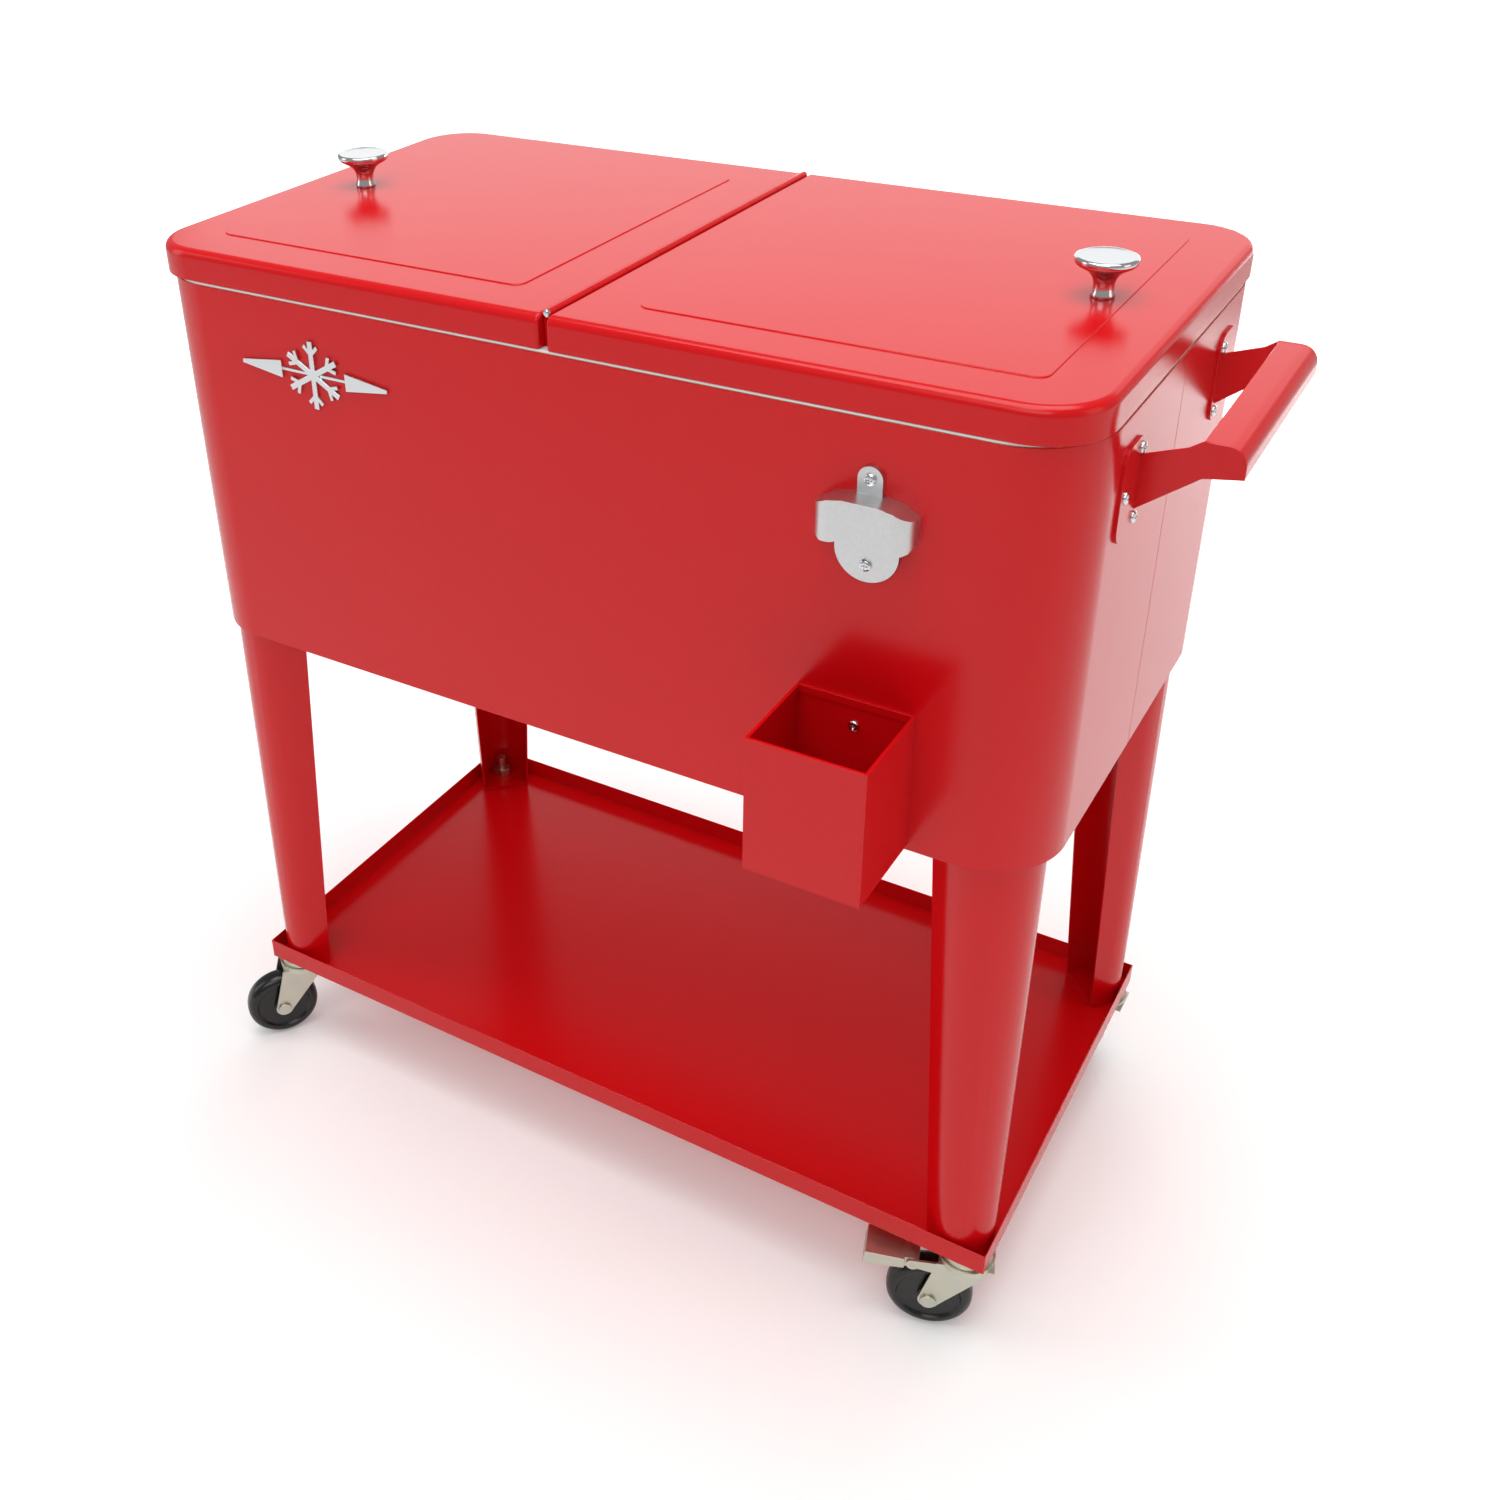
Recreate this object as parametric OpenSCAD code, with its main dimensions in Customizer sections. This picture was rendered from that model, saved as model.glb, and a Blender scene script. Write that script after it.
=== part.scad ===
// Patio cooler cart: an insulated steel chest with two lids on one centre hinge, on four legs
// with a lower tray and swivel casters. Origin on the floor under the middle of the whole cart.

/* [Body] */
// Length of the chest, side to side
body_l = 750; // [600:5:950]
// Depth of the chest, front to back
body_w = 404; // [320:2:520]
// Height of the steel side wall
body_h = 310; // [240:5:400]
// Radius of the chest's upright corners
body_corner_r = 58; // [45:1:80]
// Height of the wall's lower edge above the floor
base_h = 481; // [380:5:600]
// Thickness of the outer sheet
sheet_t = 1.2; // [0.8:0.1:2]
// How far the bottom pan sits above the wall's lower edge
pan_recess = 12; // [8:1:30]
// Joint line between the front and rear halves of the wall
seam_gap = 0.4; // [0.2:0.1:1]

/* [Insulation and liner] */
// Thickness of the wall insulation
foam_t = 20; // [14:1:30]
// Thickness of the insulation under the liner
floor_foam_t = 18; // [12:1:40]
// Thickness of the plastic liner
liner_t = 1.8; // [1.2:0.1:3]
// Thickness of the liner's lip on top of the wall
lip_t = 2.2; // [1.5:0.1:4]
// How far the lip's edge stays inside the wall's face
lip_inset = 0.8; // [0.4:0.1:3]

/* [Lids] */
// Height of a lid
lid_h = 24; // [18:1:40]
// Radius of a lid's outer corners
lid_corner_r = 46; // [30:1:70]
// Radius of a lid's corners beside the hinge
lid_inner_r = 5; // [3:0.5:10]
// Rounding of a lid's top edge
lid_edge_r = 6.5; // [4:0.5:9]
// Rounding of the top edge beside the hinge
hinge_edge_r = 3; // [2:0.5:4]
// Gap between the two lids
lid_gap = 6.4; // [6:0.2:9]
// Gap between a closed lid and the lip under it
seat_gap = 0.3; // [0.2:0.1:1]
// Width of the border round a lid's raised panel
panel_border = 44; // [30:1:60]
// Height of the raised panel
panel_raise = 0.8; // [0.4:0.1:2]
// How deep the lid's inner panel reaches into the opening
plug_d = 8; // [4:0.5:14]
// Clearance between the lid's inner panel and the opening
plug_clear = 7; // [5:0.5:14]

/* [Hinge] */
// Diameter of the hinge rod
rod_d = 3.3; // [2.8:0.1:3.6]
// Diameter of the hinge barrel
barrel_d = 5.8; // [5.4:0.1:5.8]
// Running clearance round the rod
hinge_clear = 0.05; // [0.03:0.01:0.08]
// How far the hinge axis lies below the lids' border
hinge_drop = 0.5; // [0.3:0.1:0.6]
// Distance from the end of the barrel to the lids' front face
hinge_inset = 8; // [6:1:16]
// Width of each fixed ear
ear_w = 8; // [5:1:14]
// Lid knuckles in each of the two bays
knuckles_per_bay = 4; // [2:2:8]
// End gap between two knuckles
knuckle_gap = 0.4; // [0.3:0.1:1]
// Width of the beam across the opening
beam_w = 24; // [16:1:36]
// Height of the beam
beam_h = 15; // [10:1:24]

/* [Knobs] */
// Diameter of a knob
knob_d = 42; // [32:1:52]
// Height of a knob
knob_h = 28; // [22:1:36]
// Diameter of the knob's neck
knob_neck_d = 15.5; // [12:0.5:20]
// Distance from the chest's end to the knob
knob_inset = 61; // [56:1:90]
// Diameter of the knob's screw
knob_screw_d = 5; // [4:0.5:6]

/* [Badge] */
// Distance of the badge from the chest's left end
badge_inset = 166; // [140:1:200]
// Height of the badge's middle above the wall's lower edge
badge_z = 257; // [180:1:280]
// Span of the snowflake
flake_d = 54; // [40:1:64]
// Full width of the badge
badge_l = 141; // [110:1:160]
// Thickness of the badge
badge_t = 2.5; // [1.5:0.1:4]

/* [Bottle opener] */
// Distance from the chest's right end to the opener
opener_inset = 132.5; // [110:0.5:180]
// Top of the opener above the wall's lower edge
opener_top = 280.5; // [240:0.5:290]
// Height of the opener
opener_h = 80; // [70:1:100]
// Width across the opener's hood
hood_w = 67; // [60:1:84]
// How far the hood stands out
hood_d = 19; // [14:1:26]
// Width of the opener's top tab
tab_w = 17; // [14:1:24]
// Width of the opener's lower plate
plate_w = 44; // [36:1:50]
// Thickness of the casting
cast_t = 3.2; // [2.4:0.1:4.5]

/* [Cap catcher] */
// Distance from the chest's right end to the catcher
catcher_inset = 135; // [110:0.5:180]
// Width of the catcher
catcher_w = 86; // [70:1:110]
// Depth of the catcher
catcher_d = 78; // [50:1:100]
// Height of the catcher
catcher_h = 106; // [80:1:140]
// Height of the catcher's bottom above the wall's lower edge
catcher_z = 4; // [2:1:20]
// Width of the fold round the catcher's mouth
catcher_hem = 6; // [3:0.5:10]
// Height of the catcher's screw below its rim
catcher_screw_z = 21; // [12:1:30]

/* [Handles] */
// How far a handle reaches out
handle_reach = 65; // [50:1:90]
// Distance between the two arms of a handle
handle_span = 196; // [150:2:240]
// Top of a handle above the wall's lower edge
handle_top = 291; // [260:1:300]
// Thickness of the handle's sheet
handle_t = 2; // [1.5:0.1:3]
// Rounding of the handle's outer top edge
grip_r = 12; // [8:1:18]
// Width of the grip's top face
grip_w = 27; // [20:1:36]
// Height of the grip's outer face
grip_h = 20; // [16:1:24]
// Width of a handle's wall bracket
bracket_w = 43; // [36:1:56]
// Height of a handle's wall bracket
bracket_h = 66; // [56:1:84]

/* [Legs] */
// Radius of a leg's round front at the top
leg_top_r = 38; // [30:1:40]
// Radius of a leg's round front at the foot
leg_foot_r = 25; // [20:1:27]
// Length of a leg's flanges at the top
leg_top_flange = 18; // [10:1:24]
// Length of a leg's flanges at the foot
leg_foot_flange = 14; // [8:1:20]
// Distance from the chest's faces to the leg's centre at the top
leg_top_inset = 47; // [46:1:60]
// Thickness of the leg's sheet
leg_t = 1.6; // [1.2:0.1:2.5]
// Thickness of the leg's end plates
leg_plate_t = 3; // [2:0.5:5]

/* [Tray] */
// How far the tray's ends stay inside the chest's ends
tray_inset_x = 4.5; // [2:0.5:12]
// How far the tray's sides stay inside the chest's faces
tray_inset_y = 8; // [4:0.5:14]
// Height of the tray's rim
tray_h = 20; // [12:1:36]

/* [Casters] */
// Diameter of a caster's wheel
wheel_d = 70; // [55:1:85]
// Width of a caster's wheel
wheel_w = 22; // [18:1:28]
// Height from the top of the wheel to the tray
caster_head = 20; // [18:1:28]
// Distance from the swivel axis back to the axle
trail = 27; // [22:1:32]
// Diameter of the raceway
raceway_d = 44; // [40:1:50]
// Diameter of the axle
axle_d = 8; // [6:0.5:10]
// Diameter of the threaded stem
stem_d = 10; // [8:1:12]
// Thickness of the fork's sheet
fork_t = 2; // [1.6:0.1:3]
// Running clearance of wheels, swivels and pedals
run_clear = 0.08; // [0.05:0.01:0.1]
// Distance from the chest's ends to the casters
caster_inset_x = 24.5; // [23:0.5:40]
// Distance from the chest's faces to the casters
caster_inset_y = 27.5; // [26:0.5:46]
// Turn of the front left caster at rest, in degrees
turn_front_left = 52; // [0:1:90]
// Turn of the front right caster at rest, in degrees
turn_front_right = 18; // [0:1:90]

/* [Drain] */
// Distance from the chest's right end to the drain
drain_inset = 125; // [100:1:200]
// Diameter of the drain's spout
drain_d = 22; // [18:1:28]
// How far the drain reaches out of the rear wall
drain_reach = 26; // [22:1:34]

/* [Hidden] */
$fn = 48;
eps = 0.01;
long = 2000;

// Plan: the chest's centre lies forward of the origin's line by half the front and rear overhang
centre_y = (catcher_d - drain_reach) / 2;
half_l = body_l / 2;
half_w = body_w / 2;

// Heights
shell_top = base_h + body_h;
lip_top = shell_top + lip_t;
lid_z = lip_top + seat_gap;
lid_top = lid_z + lid_h;
panel_top = lid_top + panel_raise;
pan_z = base_h + pan_recess;
foam_z = pan_z + sheet_t;
liner_z = foam_z + floor_foam_t;
liner_floor = liner_z + liner_t;
hinge_z = lid_top - hinge_drop;

// Chest sections
wall_t = sheet_t + foam_t + liner_t;
liner_r = body_corner_r - sheet_t - foam_t;
opening_l = body_l - 2 * wall_t;
opening_w = body_w - 2 * wall_t;
opening_r = body_corner_r - wall_t;

// Lids
lid_wall_t = sheet_t;
lid_liner_z = lid_z + 1;
lid_liner_top = lid_liner_z + liner_t;
plug_z = lid_z - plug_d;
plug_x0 = beam_w / 2 + plug_clear;
plug_x1 = opening_l / 2 - plug_clear;
plug_y = opening_w / 2 - plug_clear;
knob_x = half_l - knob_inset;
knob_thread = 12;

// Hinge
hinge_half = half_w - hinge_inset;
bay_l = (2 * hinge_half - 3 * ear_w) / 2;
knuckle_pitch = bay_l / knuckles_per_bay;
barrel_r = barrel_d / 2;
rod_r = rod_d / 2;
rail_h = 4;
leaf_d = 6;

// Fittings
opener_x = half_l - opener_inset;
opener_z = base_h + opener_top;
catcher_bottom = base_h + catcher_z;
catcher_top = catcher_bottom + catcher_h;
badge_x = -half_l + badge_inset;
screw_d = 4;
screw_l = 13;
screw_clear = 0.1;
opener_screw_z = [opener_z - tab_w / 2, opener_z - opener_h + 12];
catcher_x = half_l - catcher_inset;

// Handles
grip_z = base_h + handle_top;
handle_x = half_l + handle_reach;
arm_y = handle_span / 2;
bracket_top = grip_z - 2;
bracket_mid = bracket_top - bracket_h / 2;
handle_screw_yz = [
    [arm_y, bracket_top - 9],
    [arm_y + 26, bracket_mid],
    [arm_y, bracket_top - bracket_h + 9]
];

// Casters, tray and legs
caster_h = wheel_d + caster_head;
axle_z = wheel_d / 2;
caster_x = half_l - caster_inset_x;
caster_y = half_w - caster_inset_y;
tray_l = body_l - 2 * tray_inset_x;
tray_w = body_w - 2 * tray_inset_y;
leg_z = caster_h + sheet_t;
leg_foot_x = half_l - tray_inset_x - sheet_t - 2 - leg_foot_r;
leg_foot_y = half_w - tray_inset_y - sheet_t - 2 - leg_foot_r;
leg_top_x = half_l - leg_top_inset;
leg_top_y = half_w - leg_top_inset;
leg_bolt_y = 13;
leg_bolt_r = 3;
stem_r = stem_d / 2;
stem_l = 26;
fork_gap = 1.2;
fork_inner = wheel_w / 2 + fork_gap;
fork_outer = fork_inner + fork_t;
head_top = caster_h - 5.5;
head_z = head_top - 6;
raceway_r = raceway_d / 2;
pedal_x = trail + 15;
pedal_z = wheel_d + 3.5;
pedal_pin_r = 2;
pedal_l = 40;
pad_gap = 4;

// Drain
drain_x = half_l - drain_inset;
drain_r = drain_d / 2;
drain_z = liner_floor + drain_r + 6;
drain_flange_r = drain_r + 6;
drain_nut_t = 5;
drain_cap_t = 2.5;

// Outline of a rounded rectangle on the centre
module round_rect(l, w, r) {
    square([l - 2 * r, w], center = true);
    square([l, w - 2 * r], center = true);
    for (x = [-1, 1]) for (y = [-1, 1])
        translate([x * (l / 2 - r), y * (w / 2 - r)]) circle(r);
}

// Upright block with rounded corners between two heights
module block(l, w, r, z0, z1) {
    translate([0, 0, z0]) linear_extrude(z1 - z0) round_rect(l, w, r);
}

// Outline from x0 to x1, with one corner radius at each end, across the depth w
module lid_rect(x0, x1, w, r0, r1) {
    translate([x0 + r0, -w / 2]) square([x1 - r1 - x0 - r0, w]);
    translate([x0, -w / 2 + r0]) square([r0 + eps, w - 2 * r0]);
    translate([x1 - r1 - eps, -w / 2 + r1]) square([r1 + eps, w - 2 * r1]);
    for (y = [-1, 1]) {
        translate([x0 + r0, y * (w / 2 - r0)]) circle(r0);
        translate([x1 - r1, y * (w / 2 - r1)]) circle(r1);
    }
}

// Moves the chest's own frame to its place over the origin
module at_centre() {
    translate([0, centre_y, 0]) children();
}

// The right-hand piece as drawn, or its mirror image for the left
module on_side(s) {
    if (s > 0) children();
    else mirror([1, 0, 0]) children();
}

// Cylinder along Y between y0 and y1
module rod_y(r, y0, y1) {
    translate([0, y1, 0]) rotate([90, 0, 0]) cylinder(r = r, h = y1 - y0);
}

// Screw with its head on z = 0, a coned rim and a cross slot
module screw(d, l, head_d) {
    translate([0, 0, -l]) cylinder(d = d, h = l + eps);
    difference() {
        union() {
            cylinder(d = head_d, h = 1);
            translate([0, 0, 1]) cylinder(d1 = head_d, d2 = head_d * 0.7, h = 1.2);
        }
        for (a = [0, 90]) rotate(a)
            translate([-head_d * 0.28, -0.5, 1.1]) cube([head_d * 0.56, 1, 2]);
    }
}

// Turns a piece drawn on z = 0 so that it stands out of the front wall
module from_front(x, z) {
    translate([x, -half_w, z]) rotate([90, 0, 0]) children();
}

// Turns a piece drawn on z = 0 so that it stands out of the right end wall
module from_end(y, z, out = 0) {
    translate([half_l + out, y, z]) rotate([0, 90, 0]) children();
}

// Holes for every screw that enters the wall
module wall_screw_holes() {
    hole_l = screw_l + 0.5;
    for (z = opener_screw_z) from_front(opener_x, z)
        translate([0, 0, -hole_l]) cylinder(d = screw_d + 2 * screw_clear, h = hole_l + 1);
    from_front(catcher_x, catcher_top - catcher_screw_z)
        translate([0, 0, -hole_l]) cylinder(d = screw_d + 2 * screw_clear, h = hole_l + 1);
    for (s = [-1, 1]) on_side(s)
        for (f = [-1, 1]) for (p = handle_screw_yz) from_end(f * p[0], p[1])
            translate([0, 0, -hole_l]) cylinder(d = screw_d + 2 * screw_clear, h = hole_l + 1);
}

// Hole for the drain through the rear wall
module drain_hole(r) {
    translate([drain_x, 0, drain_z]) rod_y(r, opening_w / 2 - 20, half_w + 20);
}

// Half of the steel side wall, in front of or behind the seam
module shell_half(s) {
    difference() {
        block(body_l, body_w, body_corner_r, base_h, shell_top);
        block(body_l - 2 * sheet_t, body_w - 2 * sheet_t, body_corner_r - sheet_t, base_h - 1, shell_top + 1);
        translate([-long / 2, s > 0 ? -long + seam_gap / 2 : -seam_gap / 2, 0]) cube([long, long, long]);
        wall_screw_holes();
        drain_hole(drain_r + screw_clear);
    }
}

module shell_front() {
    color("firebrick") at_centre() shell_half(-1);
}

module shell_rear() {
    color("firebrick") at_centre() shell_half(1);
}

// Bottom pan with a turned-down rim
module shell_floor() {
    pan_l = body_l - 2 * sheet_t;
    pan_w = body_w - 2 * sheet_t;
    pan_r = body_corner_r - sheet_t;
    color("firebrick") at_centre() difference() {
        block(pan_l, pan_w, pan_r, pan_z - 6, foam_z);
        block(pan_l - 2 * sheet_t, pan_w - 2 * sheet_t, pan_r - sheet_t, pan_z - 7, pan_z);
        leg_bolt_holes();
    }
}

module foam_core() {
    outer_l = body_l - 2 * sheet_t;
    outer_w = body_w - 2 * sheet_t;
    color("khaki") at_centre() difference() {
        block(outer_l, outer_w, body_corner_r - sheet_t, foam_z, shell_top);
        block(opening_l + 2 * liner_t, opening_w + 2 * liner_t, liner_r, liner_z, shell_top + 1);
        wall_screw_holes();
        drain_hole(drain_r + screw_clear);
        leg_bolt_holes();
    }
}

// Plastic tub with a lip over the top of the wall
module liner() {
    lip_l = body_l - 2 * lip_inset;
    lip_w = body_w - 2 * lip_inset;
    color("white") at_centre() difference() {
        union() {
            block(opening_l + 2 * liner_t, opening_w + 2 * liner_t, liner_r, liner_z, lip_top);
            block(lip_l, lip_w, body_corner_r - lip_inset, shell_top, lip_top);
        }
        block(opening_l, opening_w, opening_r, liner_floor, lip_top + 1);
        drain_hole(drain_r + screw_clear);
    }
}

// Place of ear number i, from 0 at the front to 2 at the rear
function ear_y(i) = -hinge_half + i * (bay_l + ear_w);

// Beam across the opening with a rail and three hinge ears
module hinge_beam() {
    color("firebrick") at_centre() difference() {
        union() {
            translate([-beam_w / 2, -opening_w / 2, lip_top - beam_h]) cube([beam_w, opening_w, beam_h]);
            translate([-barrel_r, -hinge_half, lip_top]) cube([barrel_d, 2 * hinge_half, rail_h]);
            for (i = [0:2]) translate([0, ear_y(i), 0]) {
                translate([-barrel_r, 0, lip_top]) cube([barrel_d, ear_w, hinge_z - lip_top]);
                translate([0, 0, hinge_z]) rod_y(barrel_r, 0, ear_w);
            }
        }
        translate([0, 0, hinge_z]) rod_y(rod_r + 0.02, -half_w, half_w);
    }
}

// Hinge rod with a domed head at each end
module hinge_rod() {
    head_t = 2.5;
    color("silver") at_centre() translate([0, 0, hinge_z]) {
        rod_y(rod_r, -hinge_half, hinge_half);
        for (s = [-1, 1]) rotate([s * 90, 0, 0]) translate([0, 0, hinge_half]) {
            cylinder(r = barrel_r, h = head_t - 1);
            translate([0, 0, head_t - 1]) cylinder(r1 = barrel_r, r2 = barrel_r * 0.65, h = 1);
        }
    }
}

// Right lid's outer solid: straight sides under a rounded top edge
module lid_solid() {
    steps = 4;
    inner_x = lid_gap / 2;
    hull() for (i = [-1:steps]) {
        a = max(i, 0) * 90 / steps;
        z = i < 0 ? lid_z : lid_top - lid_edge_r + lid_edge_r * sin(a) - eps;
        side = lid_edge_r * (1 - cos(a));
        rise = max(z + eps - lid_top + hinge_edge_r, 0);
        back = hinge_edge_r - sqrt(max(pow(hinge_edge_r, 2) - pow(rise, 2), 0));
        translate([0, 0, z]) linear_extrude(eps)
            lid_rect(inner_x + back, half_l - side, body_w - 2 * side, lid_inner_r, lid_corner_r - side, $fn = 32);
    }
}

// Room inside the right lid's sheet
module lid_room(z0, z1, clear = 0) {
    t = lid_wall_t + clear;
    translate([0, 0, z0]) linear_extrude(z1 - z0)
        lid_rect(lid_gap / 2 + t, half_l - t, body_w - 2 * t, lid_inner_r - t, lid_corner_r - t);
}

module knob_hole() {
    translate([knob_x, 0, plug_z - 5]) cylinder(d = knob_screw_d + 2 * screw_clear, h = 60);
}

module lid_shell(s) {
    color("firebrick") at_centre() on_side(s) difference() {
        union() {
            lid_solid();
            translate([0, 0, lid_top - 1]) linear_extrude(1 + panel_raise)
                lid_rect(lid_gap / 2 + panel_border, half_l - panel_border,
                    body_w - 2 * panel_border, 9, 9);
        }
        lid_room(lid_z - 1, lid_top - lid_edge_r + 1);
        lid_inner_top();
        knob_hole();
    }
}

// Shallower part of the room under the lid's rounded edge
module lid_inner_top() {
    t = lid_edge_r - 1;
    translate([0, 0, lid_top - lid_edge_r]) linear_extrude(lid_edge_r - lid_wall_t)
        lid_rect(lid_gap / 2 + t, half_l - t, body_w - 2 * t, 3, lid_corner_r - t);
}

// Lid's inner cover with the panel that enters the opening
module lid_liner(s) {
    color("white") at_centre() on_side(s) difference() {
        union() {
            lid_room(lid_liner_z, lid_liner_top, 0.2);
            plug_block(0, plug_z, lid_liner_z + eps);
        }
        plug_block(liner_t, plug_z + liner_t, lid_liner_top + 1);
        knob_hole();
    }
}

module plug_block(t, z0, z1) {
    translate([0, 0, z0]) linear_extrude(z1 - z0)
        lid_rect(plug_x0 + t, plug_x1 - t, 2 * plug_y - 2 * t, 12 - t, opening_r - plug_clear - t);
}

module lid_foam(s) {
    color("khaki") at_centre() on_side(s) difference() {
        union() {
            lid_room(lid_liner_top, lid_top - lid_edge_r, 0.2);
            plug_block(liner_t + 0.1, plug_z + liner_t, lid_liner_top + 1);
        }
        knob_hole();
    }
}

// Knuckles of one lid, with the leaf that joins each to the lid's wall
module lid_hinge(s) {
    knuckle_l = knuckle_pitch - knuckle_gap;
    first = s > 0 ? 1 : 0;
    color("firebrick") at_centre() on_side(s) difference() {
        for (b = [0:1]) for (i = [first:2:knuckles_per_bay - 1]) {
            y = ear_y(b) + ear_w + i * knuckle_pitch + knuckle_gap / 2;
            translate([0, y, hinge_z]) {
                rod_y(barrel_r, 0, knuckle_l);
                translate([barrel_r * 0.65, 0, -leaf_d]) cube([lid_gap / 2 - barrel_r * 0.65, knuckle_l, leaf_d - 1.5]);
            }
        }
        translate([0, 0, hinge_z]) rod_y(rod_r + hinge_clear, -half_w, half_w);
    }
}

// Knob: a narrow neck that opens out to a flat disc
module lid_knob(s) {
    neck_r = knob_neck_d / 2;
    top_r = knob_d / 2;
    rim_h = 5;
    flare_h = knob_h - rim_h - 5;
    flare = [for (a = [0:15:90]) [
        neck_r + (top_r - 1 - neck_r) * (1 - cos(a)),
        5 + flare_h * sin(a)
    ]];
    color("silver") at_centre() on_side(s) translate([knob_x, 0, panel_top]) difference() {
        rotate_extrude() polygon(concat(
            [[0, 0], [neck_r, 0]],
            flare,
            [[top_r, knob_h - rim_h + 1], [top_r, knob_h - 2], [top_r - 1.5, knob_h - 0.5], [0, knob_h]]
        ));
        translate([0, 0, -1]) cylinder(d = knob_screw_d + 2 * screw_clear, h = knob_thread + 1);
    }
}

module lid_screw(s) {
    color("silver") at_centre() on_side(s) translate([knob_x, 0, plug_z]) rotate([180, 0, 0])
        screw(knob_screw_d, panel_top + knob_thread - 1 - plug_z, 10);
}

// Snowflake between two tapering bars, on one thin strip
module badge() {
    arm_w = 4.5;
    twig_l = flake_d * 0.17;
    bar_x0 = flake_d / 2 + 4;
    color("silver") at_centre() from_front(badge_x, base_h + badge_z) {
        linear_extrude(badge_t) {
            for (a = [30:60:330]) rotate(a) {
                translate([0, -arm_w / 2]) square([flake_d / 2, arm_w]);
                for (t = [-45, 45]) translate([flake_d * 0.3, 0]) rotate(t)
                    translate([0, -arm_w / 3]) square([twig_l, arm_w / 1.5]);
            }
            for (s = [-1, 1]) scale([s, 1])
                polygon([[bar_x0, -7], [badge_l / 2, -1.5], [badge_l / 2, 1.5], [bar_x0, 7]]);
        }
        linear_extrude(0.8) square([badge_l - 20, 2.5], center = true);
    }
}

// Back plate of the opener, drawn round the origin at its top edge
module opener_plate() {
    tab_r = tab_w / 2;
    plate_r = plate_w / 2;
    translate([0, -tab_r]) circle(tab_r);
    translate([-tab_r, -opener_h * 0.5]) square([tab_w, opener_h * 0.5 - tab_r]);
    translate([0, -opener_h + plate_r]) circle(plate_r);
    translate([-plate_r, -opener_h + plate_r]) square([plate_w, opener_h * 0.5 - plate_r + 4]);
}

// Right half of the hood's front outline, from the neck round the lobe to the middle of the arch
function hood_half() = [
    [tab_w * 0.7, -19], [hood_w * 0.33, -21], [hood_w / 2, -27], [hood_w / 2, -44],
    [hood_w / 2 - 2, -48], [hood_w / 2 - 7, -50], [hood_w * 0.27, -49], [hood_w * 0.15, -45.5], [0, -43.5]
];

// Front outline of the hood, on both sides of the middle
module hood_front() {
    half = hood_half();
    polygon(concat(half, [for (i = [len(half) - 2:-1:0]) [-half[i][0], half[i][1]]]));
}

// Plan of the hood with rounded ends, drawn in by t, with y outward
module hood_plan(t) {
    r = hood_d * 0.7 - t;
    x = hood_w / 2 - t;
    depth = hood_d - t;
    translate([-x, 0]) square([2 * x, depth - r]);
    translate([-x + r, 0]) square([2 * (x - r), depth]);
    for (s = [-1, 1]) translate([s * (x - r), depth - r]) circle(r);
}

// Solid under the hood's outline, drawn in by t on its plan and moved down by t
module hood_solid(t) {
    intersection() {
        rotate([90, 0, 0]) linear_extrude(opener_h) hood_plan(t);
        translate([0, -t, 0]) linear_extrude(hood_d + 1) hood_front();
    }
}

// Cast opener: plate with an arched hood over its mouth, open below
module bottle_opener() {
    color("gainsboro") at_centre() from_front(opener_x, opener_z) difference() {
        union() {
            linear_extrude(cast_t) opener_plate();
            hood_solid(0);
        }
        intersection() {
            hood_solid(cast_t);
            translate([-hood_w, -opener_h, cast_t]) cube([2 * hood_w, opener_h, hood_d]);
        }
        for (z = opener_screw_z) translate([0, z - opener_z, -1])
            cylinder(d = screw_d + 2 * screw_clear, h = hood_d + 2);
    }
}

module opener_screws() {
    color("silver") at_centre() for (z = opener_screw_z) from_front(opener_x, z)
        translate([0, 0, cast_t]) screw(screw_d, cast_t + screw_l, 8.4);
}

// Folded sheet box with an open top
module cap_catcher() {
    inner_w = catcher_w - 2 * sheet_t;
    color("firebrick") at_centre() translate([catcher_x, -half_w, 0]) difference() {
        translate([-catcher_w / 2, -catcher_d, catcher_bottom]) cube([catcher_w, catcher_d, catcher_h]);
        translate([-inner_w / 2, -catcher_d + sheet_t, catcher_bottom + sheet_t])
            cube([inner_w, catcher_d - 2 * sheet_t, catcher_h]);
        translate([0, -sheet_t - 1, catcher_top - catcher_screw_z]) rod_y(screw_d / 2 + screw_clear, 0, sheet_t + 2);
    }
    color("firebrick") at_centre() translate([catcher_x, -half_w, catcher_top - catcher_hem]) difference() {
        translate([-catcher_w / 2 + sheet_t - eps, -catcher_d + sheet_t - eps, 0])
            cube([inner_w + 2 * eps, catcher_d - 2 * sheet_t + 2 * eps, catcher_hem]);
        translate([-inner_w / 2 + sheet_t, -catcher_d + 2 * sheet_t, -1])
            cube([inner_w - 2 * sheet_t, catcher_d - 4 * sheet_t, catcher_hem + 2]);
    }
}

module catcher_screw() {
    color("silver") at_centre() from_front(catcher_x, catcher_top - catcher_screw_z)
        translate([0, 0, sheet_t]) screw(screw_d, sheet_t + screw_l, 8.4);
}

// Side view of an arm, with x outward from the wall and y up from the handle's top
module arm_shape() {
    r = grip_r;
    polygon(concat(
        [[handle_t / 2, -54], [handle_t / 2, -16], [handle_reach * 0.45, -6], [handle_reach - grip_w, 0]],
        [for (a = [90:-15:0]) [handle_reach - r + r * cos(a), -r + r * sin(a)]],
        [[handle_reach, -grip_h], [handle_reach * 0.62, -grip_h - 4]]
    ));
}

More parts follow.
